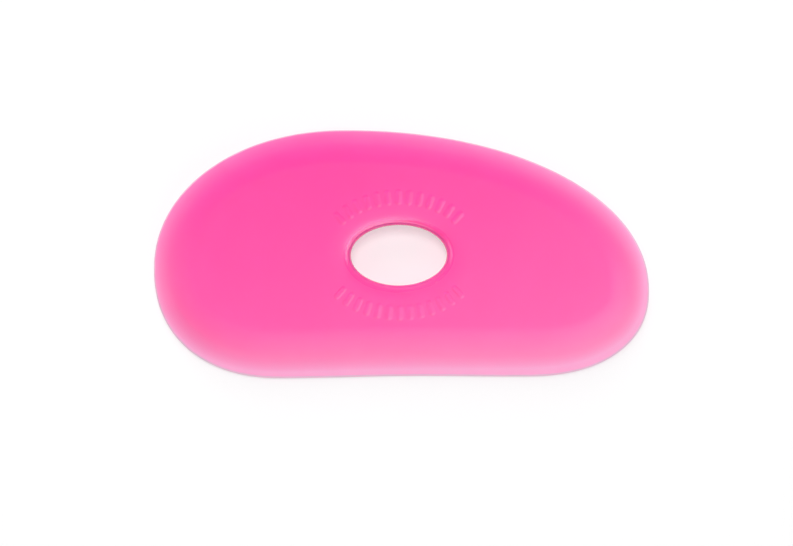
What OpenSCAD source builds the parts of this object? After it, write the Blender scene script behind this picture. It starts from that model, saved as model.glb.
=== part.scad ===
// Pottery rib: one soft cast piece with a flat back, a bevelled face and an oval finger hole.
// It lies on its back in the XY plane. X runs along its length, and the crown is on the +Y side.

/* [Size] */
// Length from end to end
rib_length = 88.9; // [74:0.1:108]
// Width from the working edge to the top of the crown
rib_width = 44.45; // [37:0.05:54]
// Thickness between the back and the flat land of the face
rib_thickness = 6.4; // [5:0.1:8]

/* [Outline] */
// Place of the top of the crown along the length, from the middle
crown_x = -10.5; // [-14:0.1:-6]
// Height of the large end's tip above the working edge
large_end_height = 19.8; // [16:0.1:22]
// Height of the small end's tip above the working edge
small_end_height = 15.4; // [13:0.1:18]
// Reach of the heel below the large end, along the length
large_heel = 23.2; // [19:0.1:27]
// Reach of the heel below the small end, along the length
small_heel = 21.8; // [18:0.1:26]
// Fullness of the two quarters of the crown, where 2 is an ellipse
crown_fullness = 2.06; // [2:0.02:2.3]
// Fullness of the two heels, where 2 is an ellipse
heel_fullness = 2.26; // [2:0.02:2.4]
// Depth of the slight hollow along the working edge
edge_hollow = 0.25; // [0:0.05:0.8]

/* [Edge] */
// Thickness of the lip that is left all round
lip_thickness = 1; // [0.7:0.1:1.6]
// Radius that softens the upper corner of the lip
lip_round = 0.4; // [0.1:0.05:0.6]
// Width of the bevel along the working edge
working_bevel = 9; // [7:0.1:10]
// Width of the bevel along the crown
crown_bevel = 6.5; // [5.5:0.1:8]
// Softness of the bevel, from a straight slope at 0 to one long arc up to the land at 1
bevel_softness = 0.8; // [0.3:0.05:0.95]

/* [Finger hole] */
// Length of the oval hole
hole_length = 17.2; // [14:0.1:22]
// Width of the oval hole
hole_width = 10.8; // [8:0.1:13]
// Place of the hole along the length, from the middle
hole_x = -0.45; // [-3:0.05:3]
// Place of the hole across the width, from the middle
hole_y = -0.3; // [-1:0.05:2]
// Radius of the rolled rim on the face side
rim_round = 1.3; // [0.6:0.1:2]
// Width of the shallow dish outside the rolled rim
dish_width = 3.2; // [1:0.1:5]
// Depth of the dish at the rolled rim
dish_depth = 0.3; // [0.1:0.05:0.6]
// Small bevel on the back of the hole
back_break = 0.4; // [0.2:0.1:0.8]

/* [Hidden] */

// Steps along each curve
quarter_steps = 24;
edge_steps = 12;
hole_steps = 72;
lip_steps = 2;
round_steps = 6;
rim_steps = 6;
dish_steps = 3;

// Half sizes
half_length = rib_length / 2;
half_width = rib_width / 2;

// Heights of the two tips, and the two ends of the straight part of the working edge
large_tip_y = large_end_height - half_width;
small_tip_y = small_end_height - half_width;
edge_start = large_heel - half_length;
edge_end = half_length - small_heel;

// Reach of the crown from its top to each tip, along the length
crown_to_large = half_length + crown_x;
crown_to_small = half_length - crown_x;

// Height that the bevel climbs from the lip to the land
bevel_rise = rib_thickness - lip_thickness;

// The dish ends on the land, however wide it is asked to be
least_dish = 0.5;
land_below = half_width - working_bevel + hole_y - hole_width / 2 - rim_round;
land_above = half_width - crown_bevel - hole_y - hole_width / 2 - rim_round;
dish_reach = max(least_dish, min(dish_width, land_below, land_above));

// The tool that cuts the hole runs this far past both faces
overrun = 1;

// One quarter of the outline, as points with their outward normals.
// It spans reach along X and Y from its middle, and the signs of reach choose the quarter.
// The angle runs from first to last, and the last point is left to the next curve.
function quarter(middle, reach, fullness, first, last) = [
    for (i = [0 : quarter_steps - 1])
        let (angle = first + (last - first) * i / quarter_steps)
        let (u = pow(cos(angle), 2 / fullness))
        let (v = pow(sin(angle), 2 / fullness))
        let (normal = [pow(u, fullness - 1) / reach[0], pow(v, fullness - 1) / reach[1]])
        [middle + [reach[0] * u, reach[1] * v], normal / norm(normal)]
];

// The working edge between the two heels, with its slight hollow
function working_edge() = [
    for (i = [0 : edge_steps - 1])
        let (s = i / edge_steps)
        let (rise = edge_hollow * pow(sin(180 * s), 2))
        [[edge_start + (edge_end - edge_start) * s, rise - half_width], [0, -1]]
];

// The whole outline, anticlockwise from the small end's tip
outline = concat(
    quarter([crown_x, small_tip_y], [crown_to_small, half_width - small_tip_y], crown_fullness, 0, 90),
    quarter([crown_x, large_tip_y], [-crown_to_large, half_width - large_tip_y], crown_fullness, 90, 0),
    quarter([edge_start, large_tip_y], [-large_heel, -large_end_height], heel_fullness, 0, 90),
    working_edge(),
    quarter([edge_end, small_tip_y], [small_heel, -small_end_height], heel_fullness, 90, 0)
);

// The bevel is widest at the working edge and narrowest at the crown
function bevel_width(normal) = crown_bevel + (working_bevel - crown_bevel) * (1 - normal[1]) / 2;

// Radius of the round-over between a bevel of this width and the land
function round_over(width) =
    let (longest_arc = (width * width + bevel_rise * bevel_rise) / (2 * bevel_rise))
    bevel_softness * longest_arc;

// Slope of a bevel that rises from the lip and runs smoothly into the round-over
function bevel_slope(width) =
    let (radius = round_over(width))
    let (reach = norm([width, radius - bevel_rise]))
    asin(radius / reach) - atan2(radius - bevel_rise, width);

// Section of the edge from the back to the land, as [distance in from the outline, height]
function edge_section(width) =
    let (slope = bevel_slope(width))
    let (radius = round_over(width))
    let (trim = lip_round * tan((90 - slope) / 2))
    concat(
        [[0, 0]],
        [
            for (i = [0 : lip_steps])
                let (angle = (90 - slope) * i / lip_steps)
                [lip_round * (1 - cos(angle)), lip_thickness - trim + lip_round * sin(angle)]
        ],
        [
            for (i = [0 : round_steps])
                let (angle = slope * (1 - i / round_steps))
                [width - radius * sin(angle), rib_thickness - radius * (1 - cos(angle))]
        ]
    );

// Section of the hole from below the back to above the face, as [distance out from the hole, height]
function hole_section() =
    let (dish_slope = atan2(2 * dish_depth, dish_reach))
    let (rim_height = rib_thickness - dish_depth - rim_round * cos(dish_slope))
    let (dish_start = rim_round * (1 - sin(dish_slope)))
    concat(
        [[back_break + overrun, -overrun], [0, back_break]],
        [
            for (i = [0 : rim_steps])
                let (angle = (90 - dish_slope) * i / rim_steps)
                [rim_round * (1 - cos(angle)), rim_height + rim_round * sin(angle)]
        ],
        [
            for (i = [1 : dish_steps])
                let (s = i / dish_steps)
                [dish_start + dish_reach * s, rib_thickness - dish_depth * pow(1 - s, 2)]
        ],
        [[dish_start + dish_reach, rib_thickness + overrun]]
    );

// A ring of the oval hole, moved out by a distance
function oval_ring(distance, height) = [
    for (i = [0 : hole_steps - 1])
        let (angle = 360 * i / hole_steps)
        let (normal = [cos(angle) / hole_length, sin(angle) / hole_width])
        let (rim = [hole_length * cos(angle), hole_width * sin(angle)] / 2)
        let (place = [hole_x, hole_y] + rim + distance * normal / norm(normal))
        [place[0], place[1], height]
];

// The point in the middle of a ring's end cap
function cap_middle(ring) = [hole_x, hole_y, ring[0][2]];

// A closed solid through rings that are stacked upwards
module loft(rings) {
    count = len(rings[0]);
    top = len(rings) - 1;
    bottom_middle = count * len(rings);
    top_middle = bottom_middle + 1;
    sides = [
        for (k = [0 : top - 1])
            for (i = [0 : count - 1])
                let (j = (i + 1) % count)
                each [
                    [k * count + i, (k + 1) * count + i, (k + 1) * count + j],
                    [k * count + i, (k + 1) * count + j, k * count + j]
                ]
    ];
    caps = [
        for (i = [0 : count - 1])
            let (j = (i + 1) % count)
            each [
                [bottom_middle, i, j],
                [top_middle, top * count + j, top * count + i]
            ]
    ];
    ring_points = [for (ring = rings) each ring];
    middles = [cap_middle(rings[0]), cap_middle(rings[top])];
    polyhedron(points = concat(ring_points, middles), faces = concat(sides, caps), convexity = 4);
}

// The bevelled blank, before the hole is cut
module blank() {
    sections = [for (point = outline) edge_section(bevel_width(point[1]))];
    loft([
        for (k = [0 : len(sections[0]) - 1]) [
            for (i = [0 : len(outline) - 1])
                let (inner = outline[i][0] - sections[i][k][0] * outline[i][1])
                [inner[0], inner[1], sections[i][k][1]]
        ]
    ]);
}

// What the oval finger hole takes away, with its rolled rim and its dish
module finger_hole() {
    loft([for (point = hole_section()) oval_ring(point[0], point[1])]);
}

module rib() {
    color("hotpink")
    difference() {
        blank();
        finger_hole();
    }
}

rib();
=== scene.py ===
# %% [markdown]
# # A soft pottery rib
# A rib is the hand tool that shapes and smooths wet clay. This one is a single casting in soft
# translucent plastic, 88.9 mm long and 44.45 mm wide: a flat back, a face whose edge is bevelled
# down to a thin lip, and an oval hole for a fingertip.
# The lesson starts from the solid model, which is the frame that every piece has to fit. Then it
# draws a finer skin in the solid's place, gives the skin its finish, and sets up the picture.
# All sizes are in metres. The rib lies on its back, and its round crown is on the +Y side.

# %% Load the solid model
import math

import bpy
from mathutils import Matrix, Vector


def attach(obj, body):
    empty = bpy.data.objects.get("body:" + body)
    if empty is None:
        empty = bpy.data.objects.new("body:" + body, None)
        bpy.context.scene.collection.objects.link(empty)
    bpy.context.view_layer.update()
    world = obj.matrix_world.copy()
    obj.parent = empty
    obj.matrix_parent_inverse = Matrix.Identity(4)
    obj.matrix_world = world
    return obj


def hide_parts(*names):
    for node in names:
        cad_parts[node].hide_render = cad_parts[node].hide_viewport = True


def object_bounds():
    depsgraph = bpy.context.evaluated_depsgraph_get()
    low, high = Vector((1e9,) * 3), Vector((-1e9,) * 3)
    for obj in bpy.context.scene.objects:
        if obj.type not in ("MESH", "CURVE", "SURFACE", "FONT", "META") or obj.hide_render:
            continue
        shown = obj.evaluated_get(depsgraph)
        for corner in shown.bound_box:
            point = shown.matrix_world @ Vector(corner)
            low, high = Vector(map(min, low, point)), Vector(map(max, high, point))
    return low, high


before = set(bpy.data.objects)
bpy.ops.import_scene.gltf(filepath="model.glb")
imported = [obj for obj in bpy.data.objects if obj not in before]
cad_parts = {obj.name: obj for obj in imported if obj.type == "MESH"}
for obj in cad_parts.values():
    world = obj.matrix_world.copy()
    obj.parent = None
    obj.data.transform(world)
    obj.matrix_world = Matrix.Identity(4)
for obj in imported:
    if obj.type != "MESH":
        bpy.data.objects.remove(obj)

cad_low, cad_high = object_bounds()
mm = 0.001
print("box of the solid in mm", [round(side / mm, 3) for side in cad_high - cad_low])

# %% [markdown]
# ## Sums that write their own nodes
# The rib's outline follows a rule, so Geometry Nodes can draw it. A rule needs a sum here and
# a sine there, and each of them is one node. Placing a hundred nodes by hand hides the rule, so
# a small class does it: plus and times between two wires add the node and join it up.

# %% Wires and sums
class Wire:
    """What leaves a node. A sum on it adds the node that works it out."""

    def __init__(self, socket):
        self.socket = socket

    def __add__(self, other):
        return work_out("ADD", self, other)

    def __radd__(self, other):
        return work_out("ADD", other, self)

    def __sub__(self, other):
        return work_out("SUBTRACT", self, other)

    def __rsub__(self, other):
        return work_out("SUBTRACT", other, self)

    def __mul__(self, other):
        return work_out("MULTIPLY", self, other)

    def __rmul__(self, other):
        return work_out("MULTIPLY", other, self)

    def __truediv__(self, other):
        return work_out("DIVIDE", self, other)

    def __rtruediv__(self, other):
        return work_out("DIVIDE", other, self)


def plug(value, socket):
    """Joins a wire to a socket, or writes a plain value on it."""
    if isinstance(value, Wire):
        socket.id_data.links.new(value.socket, socket)
    else:
        socket.default_value = value


def work_out(operation, *values):
    """Adds the Math node for one sum, in the tree that its wires belong to."""
    home = next(value for value in values if isinstance(value, Wire)).socket.id_data
    node = home.nodes.new("ShaderNodeMath")
    node.operation = operation
    for value, socket in zip(values, node.inputs):
        plug(value, socket)
    return Wire(node.outputs[0])


def open_socket(sockets, name):
    """The socket of this name that the node's settings leave open."""
    return next(socket for socket in sockets if socket.name == name and socket.enabled)


def add(home, kind, settings, inputs):
    """Adds any other node, with its settings and what goes into its named sockets."""
    node = home.nodes.new(kind)
    for name, value in settings.items():
        setattr(node, name, value)
    for name, value in inputs.items():
        plug(value, open_socket(node.inputs, name))
    return node


# %% [markdown]
# ## The tree and its sizes
# One tree draws the whole skin. Its sizes are named inputs, so a reader can open the modifier and
# try a longer rib or a wider bevel. They are the sizes of the solid model, since the skin has to
# lie on it: the three overall ones are read from the solid's box, and the others are written here.

# %% Start the tree
length, width, thickness = cad_high - cad_low

tree = bpy.data.node_groups.new("rib_skin", "GeometryNodeTree")
tree.is_modifier = True
tree.interface.new_socket("Skin", in_out="OUTPUT", socket_type="NodeSocketGeometry")
group_input = tree.nodes.new("NodeGroupInput")
chosen = {}


def size(name, value, kind="NodeSocketFloat"):
    """Gives the tree a named input, and returns the wire that brings its value in."""
    tree.interface.new_socket(name, in_out="INPUT", socket_type=kind)
    chosen[name] = value
    return Wire(group_input.outputs[name])


def vector(x, y, z):
    """Puts three numbers together as one place."""
    return Wire(add(tree, "ShaderNodeCombineXYZ", {}, {"X": x, "Y": y, "Z": z}).outputs[0])


def parts(place):
    """Takes a place apart into its three numbers."""
    node = add(tree, "ShaderNodeSeparateXYZ", {}, {"Vector": place})
    return [Wire(output) for output in node.outputs]


def here():
    """Each point's own place, taken apart."""
    return parts(Wire(tree.nodes.new("GeometryNodeInputPosition").outputs[0]))


def moved(shape, place):
    """Puts every point of a shape where the rule says."""
    node = add(tree, "GeometryNodeSetPosition", {}, {"Geometry": shape, "Position": place})
    return Wire(node.outputs[0])


def between(first, second, share):
    """The value that lies this share of the way from the first to the second."""
    return first + (second - first) * share


# %% [markdown]
# ## The outline
# Seen from above the rib is a lopsided bean: a high round crown nearer the large end, a lower
# small end, and a working edge that is straight but for a quarter of a millimetre of hollow.
# It could be traced point by point, but a rule is smoother and can be resized. A plain circle
# is pulled into four quarters of a superellipse, which is an ellipse with fuller or flatter
# shoulders. They meet at the two tips and the top of the crown, and at the bottom they stand
# apart, which leaves the straight edge between them.

# %% Sizes of the outline
rib_length = size("Rib Length", length)
rib_width = size("Rib Width", width)
rib_thickness = size("Rib Thickness", thickness)
crown_x = size("Crown X", -10.5 * mm)
large_end_height = size("Large End Height", 19.8 * mm)
small_end_height = size("Small End Height", 15.4 * mm)
large_heel = size("Large Heel", 23.2 * mm)
small_heel = size("Small Heel", 21.8 * mm)
crown_fullness = size("Crown Fullness", 2.06)
heel_fullness = size("Heel Fullness", 2.26)
edge_hollow = size("Edge Hollow", 0.25 * mm)
points_round = size("Points Round", 480, "NodeSocketInt")

# %% Pull a circle into the outline
circle_points = 1440  # more than are kept, so that spacing them evenly keeps the curve
half_length = rib_length * 0.5
half_width = rib_width * 0.5
circle = add(tree, "GeometryNodeCurvePrimitiveCircle", {}, {
    "Resolution": circle_points,
    "Radius": 1.0,
})
across, up, _ = here()
is_left = work_out("LESS_THAN", across, 0.0)
is_low = work_out("LESS_THAN", up, 0.0)

tip_y = between(small_end_height, large_end_height, is_left) - half_width
edge_start = large_heel - half_length
edge_end = half_length - small_heel
middle_x = between(crown_x, between(edge_end, edge_start, is_left), is_low)
crown_reach = between(half_length - crown_x, half_length + crown_x, is_left)
heel_reach = between(small_heel, large_heel, is_left)
reach_x = between(crown_reach, heel_reach, is_low)
reach_y = between(half_width - tip_y, tip_y + half_width, is_low)
power = 2.0 / between(crown_fullness, heel_fullness, is_low)


def swelled(part):
    """Pushes one part of a point on the circle outwards or inwards, and keeps its sign."""
    grown = work_out("POWER", work_out("ABSOLUTE", part), power)
    return grown * work_out("SIGN", part)


bean = moved(
    Wire(circle.outputs[0]),
    vector(middle_x + reach_x * swelled(across), tip_y + reach_y * swelled(up), 0.0),
)
even = add(tree, "GeometryNodeResampleCurve", {}, {"Curve": bean, "Count": points_round})

# %% Hollow the working edge
x, y, _ = here()
along = (x - edge_start) / (edge_end - edge_start)
along_edge = work_out("MINIMUM", work_out("MAXIMUM", along, 0.0), 1.0)
wave = work_out("SINE", along_edge * math.pi)
rise = edge_hollow * wave * wave * work_out("LESS_THAN", y, 0.0)
outline = moved(Wire(even.outputs[0]), vector(x, y + rise, 0.0))
print("outline of", chosen["Points Round"], "points")

# %% [markdown]
# ## The section
# Saw the rib through and the cut shows how it was shaped: a flat back, a blunt lip, a bevel that
# climbs from the lip and rolls over softly into the flat land, a shallow dish, and the rolled rim
# of the hole. It is drawn as a polygon of eight corners, and the Fillet Curve node rounds each
# corner by its own radius, as a file would. The bevel is wider at the working edge than at the
# crown, so two sections are drawn with the same number of points, and the skin blends them.

# %% Sizes of the section
lip_thickness = size("Lip Thickness", 1.0 * mm)
lip_round = size("Lip Round", 0.4 * mm)
working_bevel = size("Working Bevel", 9.0 * mm)
crown_bevel = size("Crown Bevel", 6.5 * mm)
bevel_softness = size("Bevel Softness", 0.8)
rim_round = size("Rim Round", 1.3 * mm)
dish_width = size("Dish Width", 3.2 * mm)
dish_depth = size("Dish Depth", 0.3 * mm)
back_break = size("Back Break", 0.4 * mm)
back_round = size("Back Round", 0.15 * mm)
mark_reach = size("Mark Reach", 6.8 * mm)
section_span = size("Section Span", 17.0 * mm)

# Points on each rounded corner, and cuts in the straight run that follows it
corner_points = [4, 5, 16, 1, 20, 12, 3, 3]
straight_cuts = [1, 3, 5, 16, 1, 4, 1, 26]

# %% Draw one section
bevel_rise = rib_thickness - lip_thickness
dish_slope = work_out("ARCTAN2", dish_depth * 2.0, dish_width)
dish_start = rim_round * (1.0 - work_out("SINE", dish_slope))
dish_round = dish_width * 0.5 / work_out("TANGENT", dish_slope * 0.5)
rim_corner = rib_thickness - dish_depth - dish_start * work_out("TANGENT", dish_slope)
number = Wire(tree.nodes.new("GeometryNodeInputIndex").outputs[0])


def by_number(kind, choices):
    """Gives each point the choice that has the point's number."""
    node = add(tree, "GeometryNodeIndexSwitch", {"data_type": kind}, {"Index": number})
    while len(node.index_switch_items) < len(choices):
        node.index_switch_items.new()
    for choice, socket in zip(choices, node.inputs[1:]):
        plug(choice, socket)
    return Wire(node.outputs[0])


def section(bevel):
    """The rib sawn through where its bevel is this wide, from the outline to the hole."""
    leg = bevel * bevel + bevel_rise * bevel_rise
    radius = bevel_softness * leg / (bevel_rise * 2.0)
    drop = radius - bevel_rise
    reach = work_out("SQRT", bevel * bevel + drop * drop)
    slope = work_out("ARCSINE", radius / reach) - work_out("ARCTAN2", drop, bevel)
    shoulder = bevel - radius * work_out("TANGENT", slope * 0.5)
    corners = [
        vector(0.0, 0.0, 0.0),
        vector(0.0, lip_thickness, 0.0),
        vector(shoulder, rib_thickness, 0.0),
        vector(section_span - mark_reach, rib_thickness, 0.0),
        vector(section_span - dish_start - dish_width * 0.5, rib_thickness, 0.0),
        vector(section_span, rim_corner, 0.0),
        vector(section_span, back_break, 0.0),
        vector(section_span - back_break, 0.0, 0.0),
    ]
    rounds = [back_round, lip_round, radius, 0.0, dish_round, rim_round, back_round, back_round]
    polygon = add(tree, "GeometryNodeCurvePrimitiveCircle", {}, {
        "Resolution": len(corners),
        "Radius": 1.0,
    })
    cornered = moved(Wire(polygon.outputs[0]), by_number("VECTOR", corners))
    rounded = add(tree, "GeometryNodeFilletCurve", {"mode": "POLY"}, {
        "Curve": cornered,
        "Count": by_number("INT", [points - 1 for points in corner_points]),
        "Radius": by_number("FLOAT", rounds),
    })
    # The straight run after a corner starts at the corner's last point
    cuts = 0.0
    last = -1
    for points, pieces in zip(corner_points, straight_cuts):
        last += points
        cuts = cuts + work_out("COMPARE", number, float(last), 0.5) * pieces
    finer = add(tree, "GeometryNodeSubdivideCurve", {}, {
        "Curve": Wire(rounded.outputs[0]),
        "Cuts": cuts,
    })
    return Wire(finer.outputs[0])


section_points = sum(corner_points) + sum(straight_cuts)
print("section of", section_points, "points")

# %% [markdown]
# ## The skin
# Curve to Mesh carries the section round the outline, which gives a closed ring of squares: as
# many as the outline has points one way, and as the section has points the other. Then every
# point is put in its place. Outside, it is measured in from the outline, square to it. Near the
# hole it is measured out from the oval. On the flat between them it lies on the line that joins
# the two, which is why no square is twisted. Each point of the outline is paired with the point
# of the oval that lies in the same direction, once the oval has been stretched to a circle.

# %% Note where each point belongs
def remembered(shape, **fields):
    """Notes fields on a shape's points as they are now, and returns the shape and the notes."""
    node = tree.nodes.new("GeometryNodeCaptureAttribute")
    for name, field in fields.items():
        is_place = field.socket.type == "VECTOR"
        node.capture_items.new("VECTOR" if is_place else "FLOAT", name)
        plug(field, node.inputs[name])
    plug(shape, node.inputs["Geometry"])
    return Wire(node.outputs["Geometry"]), *[Wire(node.outputs[name]) for name in fields]


tangent_x, tangent_y, _ = parts(Wire(tree.nodes.new("GeometryNodeInputTangent").outputs[0]))
outline_place = Wire(tree.nodes.new("GeometryNodeInputPosition").outputs[0])
rail, edge_place, facing = remembered(
    outline,
    edge_place=outline_place,
    facing=vector(tangent_y, 0.0 - tangent_x, 0.0),
)

own_place = Wire(tree.nodes.new("GeometryNodeInputPosition").outputs[0])
same_point = add(tree, "GeometryNodeSampleIndex", {"data_type": "FLOAT_VECTOR"}, {
    "Geometry": section(crown_bevel),
    "Value": own_place,
    "Index": number,
})
profile, working_cut, crown_cut = remembered(
    section(working_bevel),
    working_cut=own_place,
    crown_cut=Wire(same_point.outputs[0]),
)
ring = add(tree, "GeometryNodeCurveToMesh", {}, {"Curve": rail, "Profile Curve": profile})

# %% Blend the two sections
edge_x, edge_y, _ = parts(edge_place)
facing_x, facing_y, _ = parts(facing)
work_share = (1.0 - facing_y) * 0.5
bevel_width = between(crown_bevel, working_bevel, work_share)
crown_in, crown_height, _ = parts(crown_cut)
working_in, working_height, _ = parts(working_cut)
inwards = between(crown_in, working_in, work_share)
height = between(crown_height, working_height, work_share)

# %% Pair the outline with the oval hole
hole_length = size("Hole Length", 17.2 * mm)
hole_width = size("Hole Width", 10.8 * mm)
hole_x = size("Hole X", -0.45 * mm)
hole_y = size("Hole Y", -0.3 * mm)

land_x = edge_x - facing_x * bevel_width
land_y = edge_y - facing_y * bevel_width
turn = work_out("ARCTAN2", (land_y - hole_y) / hole_width, (land_x - hole_x) / hole_length)


def oval(angle, outwards):
    """A place on the hole's oval, moved outwards and square to it."""
    cosine = work_out("COSINE", angle)
    sine = work_out("SINE", angle)
    lean_x = cosine / hole_length
    lean_y = sine / hole_width
    stretch = outwards / work_out("SQRT", lean_x * lean_x + lean_y * lean_y)
    oval_x = hole_x + hole_length * 0.5 * cosine + lean_x * stretch
    oval_y = hole_y + hole_width * 0.5 * sine + lean_y * stretch
    return oval_x, oval_y


# %% Put every point in its place
flat_end = section_span - mark_reach
share = (inwards - bevel_width) / (flat_end - bevel_width)
hole_share = work_out("MINIMUM", work_out("MAXIMUM", share, 0.0), 1.0)
from_edge = work_out("MINIMUM", inwards, bevel_width)
from_hole = section_span - work_out("MAXIMUM", inwards, flat_end)
outer_x = edge_x - facing_x * from_edge
outer_y = edge_y - facing_y * from_edge
inner_x, inner_y = oval(turn, from_hole)
skin = moved(
    Wire(ring.outputs[0]),
    vector(between(outer_x, inner_x, hole_share), between(outer_y, inner_y, hole_share), height),
)

# %% [markdown]
# ## Grip marks
# The land carries faint relief in two arcs, over and under the hole: short upright bars, evenly
# spaced, that keep a wet fingertip from slipping. They could be separate pieces set on the land,
# but on a casting they are part of the skin. So evenly spaced points are laid on two arcs, every
# point of the skin finds the nearest one, and what lies within the outline of a bar is lifted,
# with a soft flank like one that left a mould.

# %% Lay the two arcs of marks
marks_in_arc = size("Marks In Each Arc", 13, "NodeSocketInt")
mark_span = size("Span Of Each Arc", math.radians(112))
mark_distance = size("Mark Distance", 4.9 * mm)
mark_length = size("Mark Length", 2.3 * mm)
mark_thickness = size("Mark Thickness", 0.62 * mm)
mark_height = size("Mark Height", 0.14 * mm)
mark_flank = size("Mark Flank", 0.22 * mm)
arc_points = 180


def arc_of_marks(middle):
    """Evenly spaced points on an arc outside the oval, each with the arc's direction there."""
    arc = add(tree, "GeometryNodeCurveArc", {}, {
        "Resolution": arc_points,
        "Radius": 1.0,
        "Start Angle": middle - mark_span * 0.5,
        "Sweep Angle": mark_span,
    })
    arc_x, arc_y, _ = here()
    mark_x, mark_y = oval(work_out("ARCTAN2", arc_y, arc_x), mark_distance)
    curve = moved(Wire(arc.outputs[0]), vector(mark_x, mark_y, rib_thickness))
    dots = add(tree, "GeometryNodeCurveToPoints", {}, {"Curve": curve, "Count": marks_in_arc})
    dots_out, direction = remembered(
        Wire(dots.outputs["Points"]), direction=Wire(dots.outputs["Tangent"])
    )
    return dots_out, direction


# %% Lift the marks
def nearest_mark(dots, direction):
    """How high the skin stands here because of the nearest mark."""
    spot = Wire(tree.nodes.new("GeometryNodeInputPosition").outputs[0])
    nearest = add(tree, "GeometryNodeSampleNearest", {}, {"Geometry": dots})
    which = Wire(nearest.outputs[0])
    found = []
    for value in (spot, direction):
        node = add(tree, "GeometryNodeSampleIndex", {"data_type": "FLOAT_VECTOR"}, {
            "Geometry": dots,
            "Value": value,
            "Index": which,
        })
        found.append(Wire(node.outputs[0]))
    skin_x, skin_y, skin_z = here()
    mark_x, mark_y, _ = parts(found[0])
    way_x, way_y, _ = parts(found[1])
    off_x = skin_x - mark_x
    off_y = skin_y - mark_y
    sideways = off_x * way_x + off_y * way_y
    upright = work_out("ABSOLUTE", off_y * way_x - off_x * way_y)
    beyond = work_out("MAXIMUM", upright - (mark_length - mark_thickness) * 0.5, 0.0)
    distance = work_out("SQRT", sideways * sideways + beyond * beyond)
    flank = add(tree, "ShaderNodeMapRange", {"interpolation_type": "SMOOTHSTEP"}, {
        "Value": distance,
        "From Min": mark_thickness * 0.5,
        "From Max": mark_thickness * 0.5 + mark_flank,
        "To Min": 1.0,
        "To Max": 0.0,
    })
    on_face = work_out("GREATER_THAN", skin_z, rib_thickness * 0.5)
    return Wire(flank.outputs[0]) * on_face * mark_height


def lifted(shape, rise):
    """Moves every point of a shape up by the rise that the rule gives."""
    node = add(tree, "GeometryNodeSetPosition", {}, {
        "Geometry": shape,
        "Offset": vector(0.0, 0.0, rise),
    })
    return Wire(node.outputs[0])


for middle in (math.radians(90), math.radians(270)):
    dots, direction = arc_of_marks(middle)
    skin = lifted(skin, nearest_mark(dots, direction))
print("two arcs of", chosen["Marks In Each Arc"], "marks")

# %% [markdown]
# ## Where the plastic is thin or rubbed
# Light shines through the thin lip, so the rib is paler there, and fingers have polished the rim
# of the hole. The finish needs to know how far in from the outline a place is and how near the
# hole, on the face and on the back alike, and only the tree knows that. So it leaves two numbers
# on every point. One is 0 at the outline and 1 from the land inwards. The other is 1 at the hole
# and 0 from a couple of millimetres outwards.

# %% Leave the numbers, shade smoothly and end the tree
named = add(tree, "GeometryNodeStoreNamedAttribute", {"data_type": "FLOAT", "domain": "POINT"}, {
    "Geometry": skin,
    "Name": "inward",
    "Value": work_out("MINIMUM", inwards / bevel_width, 1.0),
})
polished = size("Polished Width", 2.2 * mm)
from_rim = (section_span - inwards) / polished
rimmed = add(tree, "GeometryNodeStoreNamedAttribute", {"data_type": "FLOAT", "domain": "POINT"}, {
    "Geometry": Wire(named.outputs[0]),
    "Name": "rimward",
    "Value": 1.0 - work_out("MINIMUM", work_out("MAXIMUM", from_rim, 0.0), 1.0),
})
smooth = add(tree, "GeometryNodeSetShadeSmooth", {}, {"Geometry": Wire(rimmed.outputs[0])})
realized = add(tree, "GeometryNodeRealizeInstances", {}, {"Geometry": Wire(smooth.outputs[0])})
face_finish = size("Face Finish", None, "NodeSocketMaterial")
back_finish = size("Back Finish", None, "NodeSocketMaterial")
whole = add(tree, "GeometryNodeSetMaterial", {}, {
    "Geometry": Wire(realized.outputs[0]),
    "Material": face_finish,
})
_, _, place_z = here()
back_level = 0.01 * mm  # only the flat back lies lower
on_back = add(tree, "GeometryNodeSetMaterial", {}, {
    "Geometry": Wire(whole.outputs[0]),
    "Selection": work_out("LESS_THAN", place_z, back_level),
    "Material": back_finish,
})
group_output = tree.nodes.new("NodeGroupOutput")
plug(Wire(on_back.outputs[0]), group_output.inputs["Skin"])
print("tree of", len(tree.nodes), "nodes and", len(chosen), "named inputs")

# %% [markdown]
# ## What both finishes share
# The face lay against the mould and came out satin. The back was the open side, which set in the
# air, so it is a little glossier and has a few pits where bubbles stopped. The plastic is one and
# the same, so its pink with the light painted into it, the shade painted along its edges and the
# fine unevenness of its skin are each made once, as a node group, and both finishes use them.

# %% Start a shader group
def shader_group(name, takes, gives):
    """A node group with named sockets: the group, its inputs as wires, and its way out."""
    group = bpy.data.node_groups.new(name, "ShaderNodeTree")
    for label, kind in takes.items():
        group.interface.new_socket(label, in_out="INPUT", socket_type="NodeSocket" + kind)
    for label, kind in gives.items():
        group.interface.new_socket(label, in_out="OUTPUT", socket_type="NodeSocket" + kind)
    way_in = group.nodes.new("NodeGroupInput")
    way_out = group.nodes.new("NodeGroupOutput")
    return group, {label: Wire(way_in.outputs[label]) for label in takes}, way_out


def cloud(home, place, feature, detail):
    """Soft noise from 0 to 1, with features about this many metres across."""
    noise = add(home, "ShaderNodeTexNoise", {}, {
        "Vector": place,
        "Scale": 1.0 / feature,
        "Detail": detail,
    })
    return Wire(noise.outputs["Fac"])
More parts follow.
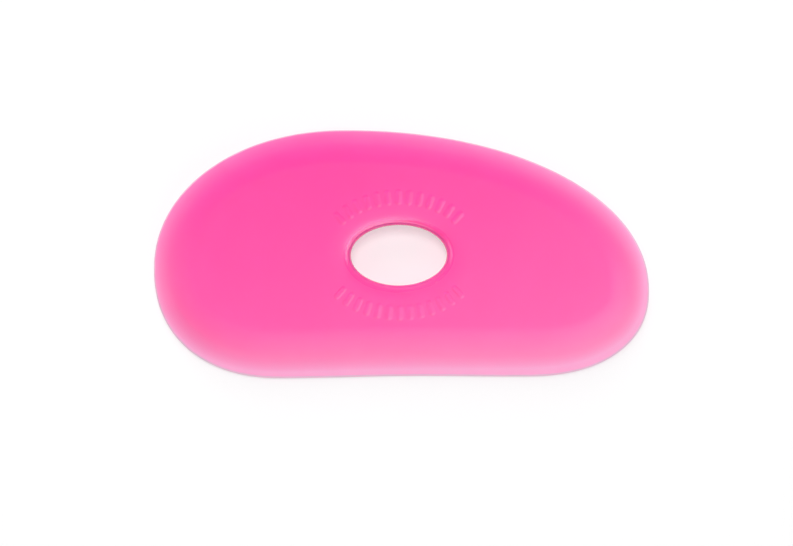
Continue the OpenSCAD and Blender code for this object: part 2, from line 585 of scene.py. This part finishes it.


# %% [markdown]
# ### The pink
# Soft translucent plastic is deepest where it is thick. At the lip it is 1 mm thin, so light
# comes in there and white paper shines through, and it pales. The light could be traced through
# the plastic, but that is slow and the exported model would lose it. Instead the colour follows
# the number that the tree left: the paleness dies away from the lip as light does in a dye.
# The pink also pales slowly from the large end's crown to the small end's heel, most of all at the
# lip, which a gradient turned that way gives. That is partly uneven pigment and partly painted
# light: sheen, and light shining through from that side. A soft noise clouds it all a little, so
# that no part of it is flat.

# %% Make the pink
pink_group, taken, pink_out = shader_group(
    "pink_with_painted_light",
    {
        "Inward": "Float",
        "Place": "Vector",
        "Deep Pink": "Color",
        "Pale Pink": "Color",
        "Lip Fade": "Float",
        "Lip Paleness": "Float",
        "Land Paleness": "Float",
        "Drift Turn": "Float",
        "Drift Span": "Float",
        "Drift Start": "Float",
        "Cloud Size": "Float",
        "Cloud Strength": "Float",
    },
    {"Colour": "Color"},
)
turned = add(pink_group, "ShaderNodeCombineXYZ", {}, {"Z": taken["Drift Turn"]})
shrunk = add(pink_group, "ShaderNodeCombineXYZ", {}, {
    "X": 1.0 / taken["Drift Span"],
    "Y": 1.0 / taken["Drift Span"],
    "Z": 0.0,
})
begun = add(pink_group, "ShaderNodeCombineXYZ", {}, {"X": taken["Drift Start"]})
laid = add(pink_group, "ShaderNodeMapping", {}, {
    "Vector": taken["Place"],
    "Location": Wire(begun.outputs[0]),
    "Rotation": Wire(turned.outputs[0]),
    "Scale": Wire(shrunk.outputs[0]),
})
slope = add(pink_group, "ShaderNodeTexGradient", {}, {"Vector": Wire(laid.outputs[0])})
drift = Wire(slope.outputs["Fac"])

glow = work_out("EXPONENT", taken["Inward"] * taken["Lip Fade"] * -1.0)
# partly painted light: the drift pales the land and the lip towards the small end's heel, as sheen
# and light shining through from that side would, and partly uneven pigment
paleness = drift * (taken["Lip Paleness"] * glow + taken["Land Paleness"] * drift)

cloudiness = cloud(pink_group, taken["Place"], taken["Cloud Size"], detail=3.0) - 0.5
mixed = add(pink_group, "ShaderNodeMix", {"data_type": "RGBA"}, {
    "Factor": paleness + cloudiness * taken["Cloud Strength"],
    "A": taken["Deep Pink"],
    "B": taken["Pale Pink"],
})
plug(Wire(open_socket(mixed.outputs, "Result")), pink_out.inputs["Colour"])

# %% [markdown]
# ### Painted shade along the edges
# Two thin lines of painted shade darken the two edges, the lip and the hole's mouth. They stand in
# for the shade on the rounded lip and on the rolled rim. The line at the lip is greyish and thin.
# The one at the mouth is darker and mauve, and spreads a little further. Each line is drawn from
# one of the numbers on the points: it is strongest just inside its edge and faint on the wall
# below. A noise breaks both lines up.

# %% Make the painted edge shade
edge_shade_group, taken, edge_shade_out = shader_group(
    "painted_edge_shade",
    {
        "Colour": "Color",
        "Inward": "Float",
        "Rimward": "Float",
        "Place": "Vector",
        "Lip Line": "Float",
        "Rim Line": "Float",
        "Lip Shade": "Color",
        "Mouth Shade": "Color",
        "Lip Shade Strength": "Float",
        "Mouth Shade Strength": "Float",
        "Patch Size": "Float",
    },
    {"Colour": "Color"},
)
# In widths of a line: its rise would start this far outside the edge, its fall ends this far in
outside = 0.4
line_end = 2.0
line_peak = (outside + line_end) / 2
patchy = cloud(edge_shade_group, taken["Place"], taken["Patch Size"], detail=3.0) + 0.5
colour = taken["Colour"]
# painted shade: each pass darkens the colour in a thin line along one edge, the lip or the hole's
# mouth
for from_edge, line, shade_name in (
    (taken["Inward"], "Lip Line", "Lip Shade"),
    (1.0 - taken["Rimward"], "Rim Line", "Mouth Shade"),
):
    lines_in = from_edge / taken[line]
    rise_and_fall = work_out("MINIMUM", lines_in + outside, line_end - lines_in) / line_peak
    shown = work_out("MAXIMUM", rise_and_fall, 0.0) * patchy * taken[shade_name + " Strength"]
    shaded_colour = add(edge_shade_group, "ShaderNodeMix", {"data_type": "RGBA"}, {
        "Factor": shown,
        "A": colour,
        "B": taken[shade_name],
    })
    colour = Wire(open_socket(shaded_colour.outputs, "Result"))
plug(colour, edge_shade_out.inputs["Colour"])

# %% [markdown]
# ### The skin's unevenness
# A cast surface looks smooth and still isn't a mirror. It carries the mould's fine grain, about
# a third of a millimetre across, a slow ripple where the plastic shrank as it set, and patches
# that are a shade more or less glossy. The group gives a height for a Bump node and a roughness.

# %% Make the unevenness
skin_group, taken, skin_out = shader_group(
    "cast_skin",
    {
        "Place": "Vector",
        "Grain Size": "Float",
        "Ripple Size": "Float",
        "Ripple Share": "Float",
        "Roughness": "Float",
        "Roughness Spread": "Float",
        "Wear": "Float",
        "Worn Roughness": "Float",
        "Polish": "Float",
        "Polished Roughness": "Float",
    },
    {"Height": "Float", "Roughness": "Float"},
)
patch_share = 0.6  # the size of a patch, as a share of the ripple's
grain = cloud(skin_group, taken["Place"], taken["Grain Size"], detail=2.0)
ripple = cloud(skin_group, taken["Place"], taken["Ripple Size"], detail=1.0)
patches = cloud(skin_group, taken["Place"], taken["Ripple Size"] * patch_share, detail=4.0) - 0.5
plug(between(grain, ripple, taken["Ripple Share"]), skin_out.inputs["Height"])
matted = between(taken["Roughness"], taken["Worn Roughness"], taken["Wear"])
rubbed = between(matted, taken["Polished Roughness"], taken["Polish"])
plug(rubbed + patches * taken["Roughness Spread"], skin_out.inputs["Roughness"])

# %% [markdown]
# ## The two finishes
# Each finish reads the object's own coordinates, so the pattern stays on the rib when it moves,
# and the two numbers that the tree left on every point. The bevel, which clay grinds at, is more
# matt than the land, and the polished rim is glossier than both. Light that enters the plastic
# comes out again about half a millimetre away, red furthest, which the shader's own subsurface
# values give: it softens the shading of the bevel and of the hole's rim.

# %% Make the finishes
deep_pink = (1.0, 0.015, 0.276, 1.0)
pale_pink = (1.0, 0.366, 0.638, 1.0)
# painted shade: the colours of the thin dark lines along the lip and the hole's mouth
lip_shade_colour = (0.60, 0.58, 0.62, 1.0)
mouth_shade_colour = (0.40, 0.12, 0.38, 1.0)
full_polish = 0.6  # from here to the hole, on the number that is 1 there, the rim is fully polished


def cast_finish(name, roughness, grain_size, ripple_size, ripple_share, relief):
    """A finish of the pink plastic, with its skin's unevenness this many metres deep."""
    material = bpy.data.materials.new(name)
    material.use_nodes = True
    nodes = material.node_tree
    shader = nodes.nodes["Principled BSDF"]
    place = Wire(nodes.nodes.new("ShaderNodeTexCoord").outputs["Object"])
    inward = add(nodes, "ShaderNodeAttribute", {"attribute_name": "inward"}, {})
    rimward = add(nodes, "ShaderNodeAttribute", {"attribute_name": "rimward"}, {})
    polish = add(nodes, "ShaderNodeMapRange", {"interpolation_type": "SMOOTHSTEP"}, {
        "Value": Wire(rimward.outputs["Fac"]),
        "From Min": 0.0,
        "From Max": full_polish,
        "To Min": 0.0,
        "To Max": 1.0,
    })
    pink = add(nodes, "ShaderNodeGroup", {"node_tree": pink_group}, {
        "Inward": Wire(inward.outputs["Fac"]),
        "Place": place,
        "Deep Pink": deep_pink,
        "Pale Pink": pale_pink,
        "Lip Fade": 3.22,
        "Lip Paleness": 2.25,
        "Land Paleness": 0.264,
        "Drift Turn": math.radians(80.2),
        "Drift Span": 95.8 * mm,
        "Drift Start": 0.408,
        "Cloud Size": 14 * mm,
        "Cloud Strength": 0.05,
    })
    # painted shade along the lip and the hole's mouth
    edge_shaded = add(nodes, "ShaderNodeGroup", {"node_tree": edge_shade_group}, {
        "Colour": Wire(pink.outputs["Colour"]),
        "Inward": Wire(inward.outputs["Fac"]),
        "Rimward": Wire(rimward.outputs["Fac"]),
        "Place": place,
        "Lip Line": 0.022,
        "Rim Line": 0.17,
        "Lip Shade": lip_shade_colour,
        "Mouth Shade": mouth_shade_colour,
        "Lip Shade Strength": 0.62,
        "Mouth Shade Strength": 0.43,
        "Patch Size": 2.5 * mm,
    })
    uneven = add(nodes, "ShaderNodeGroup", {"node_tree": skin_group}, {
        "Place": place,
        "Grain Size": grain_size,
        "Ripple Size": ripple_size,
        "Ripple Share": ripple_share,
        "Roughness": roughness,
        "Roughness Spread": 0.12,
        "Wear": 1.0 - Wire(inward.outputs["Fac"]),
        "Worn Roughness": 0.75,
        "Polish": Wire(polish.outputs[0]),
        "Polished Roughness": 0.22,
    })
    bump = add(nodes, "ShaderNodeBump", {}, {
        "Strength": 1.0,
        "Distance": relief,
        "Height": Wire(uneven.outputs["Height"]),
    })
    plug(Wire(edge_shaded.outputs["Colour"]), shader.inputs["Base Color"])
    plug(Wire(uneven.outputs["Roughness"]), shader.inputs["Roughness"])
    plug(Wire(bump.outputs["Normal"]), shader.inputs["Normal"])
    shader.inputs["IOR"].default_value = 1.48
    shader.inputs["Subsurface Weight"].default_value = 0.2
    shader.inputs["Subsurface Radius"].default_value = (1.0, 0.4, 0.6)
    shader.inputs["Subsurface Scale"].default_value = 0.5 * mm
    return material, bump


satin_face, _ = cast_finish(
    "satin_face",
    roughness=0.5,
    grain_size=0.35 * mm,
    ripple_size=9 * mm,
    ripple_share=0.6,
    relief=0.012 * mm,
)
poured_back, back_bump = cast_finish(
    "poured_back",
    roughness=0.3,
    grain_size=0.8 * mm,
    ripple_size=12 * mm,
    ripple_share=0.9,
    relief=0.03 * mm,
)
chosen["Face Finish"] = satin_face
chosen["Back Finish"] = poured_back

# %% [markdown]
# ### Pits in the back
# A few bubbles reach the open side as the plastic sets and leave shallow round pits, each well
# under a millimetre wide. Voronoi cells give every pit a place of its own, and a random number
# per cell decides which cells have one, so they lie scattered and not in rows.

# %% Pit the back
pit_cell = 2.6 * mm
pit_width = 0.5 * mm
cells_with_pit = 0.12
pit_depth = 5.0  # times as deep as the back's ripple is high

nodes = poured_back.node_tree
place = Wire(nodes.nodes.new("ShaderNodeTexCoord").outputs["Object"])
cells = add(nodes, "ShaderNodeTexVoronoi", {"voronoi_dimensions": "2D"}, {
    "Vector": place,
    "Scale": 1.0 / pit_cell,
})
lot = add(nodes, "ShaderNodeSeparateColor", {}, {"Color": Wire(cells.outputs["Color"])})
has_pit = work_out("LESS_THAN", Wire(lot.outputs["Red"]), cells_with_pit)
bowl = add(nodes, "ShaderNodeMapRange", {"interpolation_type": "SMOOTHSTEP"}, {
    "Value": Wire(cells.outputs["Distance"]) * pit_cell,
    "From Min": 0.0,
    "From Max": pit_width * 0.5,
    "To Min": 1.0,
    "To Max": 0.0,
})
skin_height = Wire(back_bump.inputs["Height"].links[0].from_socket)
plug(skin_height - Wire(bowl.outputs[0]) * has_pit * pit_depth, back_bump.inputs["Height"])
print("finishes", satin_face.name, "and", poured_back.name)

# %% [markdown]
# ## The skin as a plain mesh
# The tree goes on an object as a modifier, gets its values and is worked out once. What is kept is
# the plain mesh that comes out: it opens in any program, and its numbers stay on its points. It
# takes the solid's place in the frame and rides on the rib's body, so that it moves with it.

# %% Make the skin a plain mesh
rib = bpy.data.objects.new("rib_casting", bpy.data.meshes.new("rib_casting"))
bpy.context.scene.collection.objects.link(rib)
maker = rib.modifiers.new("skin", "NODES")
maker.node_group = tree
for item in tree.interface.items_tree:
    if item.in_out == "INPUT":
        maker[item.identifier] = chosen[item.name]
worked_out = bpy.context.evaluated_depsgraph_get()
drawn = rib.evaluated_get(worked_out)
mesh = bpy.data.meshes.new_from_object(
    drawn, preserve_all_data_layers=True, depsgraph=worked_out
)
rib.modifiers.remove(maker)
rib.data = mesh


def enclosed(mesh):
    """The volume inside a closed mesh, below zero where its faces point inwards."""
    mesh.calc_loop_triangles()
    total = 0.0
    for triangle in mesh.loop_triangles:
        a, b, c = [mesh.vertices[index].co for index in triangle.vertices]
        total += a.dot(b.cross(c)) / 6
    return total


if enclosed(mesh) < 0:
    mesh.flip_normals()
print(len(mesh.vertices), "points,", len(mesh.loop_triangles), "triangles")
print("volume", round(enclosed(mesh) / mm ** 3, 1), "cubic mm")
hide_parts("rib")
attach(rib, "root")

# %% [markdown]
# ## The floor
# The rib lies on white paper. The photograph shows the paper as plain white and still shows the
# soft shadow, and the hole is nearly as white as the rest. More light on the set would burn out
# the pink. So, to the camera and to reflections, the paper's white is about half light of its own
# and half the light that falls on it, and the second half carries the shadow. To the light that
# bounces up on to the rib it is ordinary white paper.

# %% Lay the floor
floor_reach = 1.5
floor_gap = 0.02 * mm
paper_white = 0.92
shown_white = 0.45
own_light = 0.495


def looked_at(home):
    """1 for a ray from the camera or a reflection, and 0 for light on its way to the rib."""
    ray = home.nodes.new("ShaderNodeLightPath")
    kinds = [Wire(ray.outputs[f"Is {kind} Ray"]) for kind in ("Camera", "Glossy", "Transmission")]
    return work_out("MAXIMUM", work_out("MAXIMUM", kinds[0], kinds[1]), kinds[2])


floor_mesh = bpy.data.meshes.new("floor")
corners = [(-1, -1), (1, -1), (1, 1), (-1, 1)]
floor_mesh.from_pydata([(floor_reach * x, floor_reach * y, 0) for x, y in corners], [], [range(4)])
floor = bpy.data.objects.new("floor", floor_mesh)
floor.location.z = -floor_gap
bpy.context.scene.collection.objects.link(floor)

paper = bpy.data.materials.new("white_paper")
paper.use_nodes = True
seen = looked_at(paper.node_tree)
grey = between(paper_white, shown_white, seen)
shade = add(paper.node_tree, "ShaderNodeCombineColor", {}, {
    "Red": grey,
    "Green": grey,
    "Blue": grey,
})
paper_shader = paper.node_tree.nodes["Principled BSDF"]
paper_shader.inputs["Roughness"].default_value = 1.0
paper_shader.inputs["Specular IOR Level"].default_value = 0.0
paper_shader.inputs["Emission Color"].default_value = (1.0, 1.0, 1.0, 1.0)
plug(seen * own_light, paper_shader.inputs["Emission Strength"])
plug(Wire(shade.outputs[0]), paper_shader.inputs["Base Color"])
floor_mesh.materials.append(paper)
print("floor", 2 * floor_reach, "m wide, the paper gives back", paper_white)

# %% [markdown]
# ## The camera
# The photograph looks straight down at the rib: both ends are equally sharp in outline, and only
# a hair of the hole's wall shows. A long lens from half a metre keeps it that flat. How much of
# the table the picture takes in follows from the rib's known length, and the camera is turned by
# the small angle at which the rib lies in the photograph.

# %% Place the camera
lens = 135
sensor_width = 36
picture_width = 142.57 * mm
picture_middle = (-0.89 * mm, -3.48 * mm)
lip_middle = 0.5 * mm  # the height of the outline, at which the picture's width is measured
camera_turn = math.radians(-0.42)

camera_data = bpy.data.cameras.new("camera")
camera_data.lens = lens
camera_data.sensor_width = sensor_width
camera_data.clip_start = 0.05
camera_data.clip_end = 20
camera = bpy.data.objects.new("camera", camera_data)
camera_height = lip_middle + picture_width * lens / sensor_width
camera.location = (*picture_middle, camera_height)
camera.rotation_euler = (0.0, 0.0, camera_turn)
bpy.context.scene.collection.objects.link(camera)
bpy.context.scene.camera = camera
print("camera", round(camera_height, 3), "m above the floor")

# %% [markdown]
# ## The light
# The light is soft and comes from all round: the sky gives about a quarter of it. A panel beyond
# the crown is the one that throws the soft shadow under the working edge. A panel overhead, tipped
# the same way, reaches down into the hole and shades its crown side, and three weak ones at the
# left, at the right and in front keep the bevel from going dull. Together they light flat paper
# to a little over 1, so a colour looks about as it is written.
# The light arc on the rolled rim is a reflection, and so is part of the pale bevel at the two
# ends. Wide panels in front and smaller ones at the sides give them. These show only in gloss,
# since their light would fill the shadows.

# %% Hang the lamps
def soft_panel(name, place, wide, tall, watts):
    """A flat panel of plain white light that faces the rib."""
    data = bpy.data.lights.new(name, "AREA")
    data.shape = "RECTANGLE"
    data.size = wide
    data.size_y = tall
    data.energy = watts
    lamp = bpy.data.objects.new(name, data)
    lamp.location = place
    lamp.rotation_euler = (-Vector(place)).to_track_quat("-Z", "Y").to_euler()
    bpy.context.scene.collection.objects.link(lamp)
    return lamp


seen_in_gloss = (
    ("front", (0.25, -0.88, 0.45), 0.5, 0.5, 1.9),
    ("right", (0.9, -0.25, 0.45), 0.6, 0.6, 1.4),
)
without_gloss = (
    ("beyond_crown", (-0.1, 0.85, 0.52), 0.6, 0.6, 4.28),
    ("overhead", (-0.03, 0.26, 0.97), 0.3, 0.3, 5.0),
    ("left", (-0.85, -0.1, 0.5), 0.6, 0.6, 1.5),
)
only_gloss = (
    ("high_sheen", (0.3, -0.5, 0.95), 0.8, 0.8, 10.3),
    ("low_sheen", (0.35, -0.95, 0.42), 2.4, 0.6, 13.0),
    ("left_sheen", (-0.7, -0.08, 0.7), 0.6, 0.6, 3.0),
    ("right_sheen", (0.72, -0.08, 0.68), 0.6, 0.6, 5.0),
)
for panel in seen_in_gloss:
    soft_panel(*panel)
for panel in without_gloss:
    soft_panel(*panel).visible_glossy = False
for panel in only_gloss:
    soft_panel(*panel).visible_diffuse = False

# %% Light the sky
sky_light = 0.30
world = bpy.data.worlds.new("world")
world.use_nodes = True
bpy.context.scene.world = world
sky = world.node_tree.nodes["Background"]
sky.inputs["Color"].default_value = (1.0, 1.0, 1.0, 1.0)
plug(between(sky_light, 1.0, looked_at(world.node_tree)), sky.inputs["Strength"])
bpy.context.scene.view_settings.view_transform = "Standard"
print("the sky lights with", sky_light, "and is seen as white")
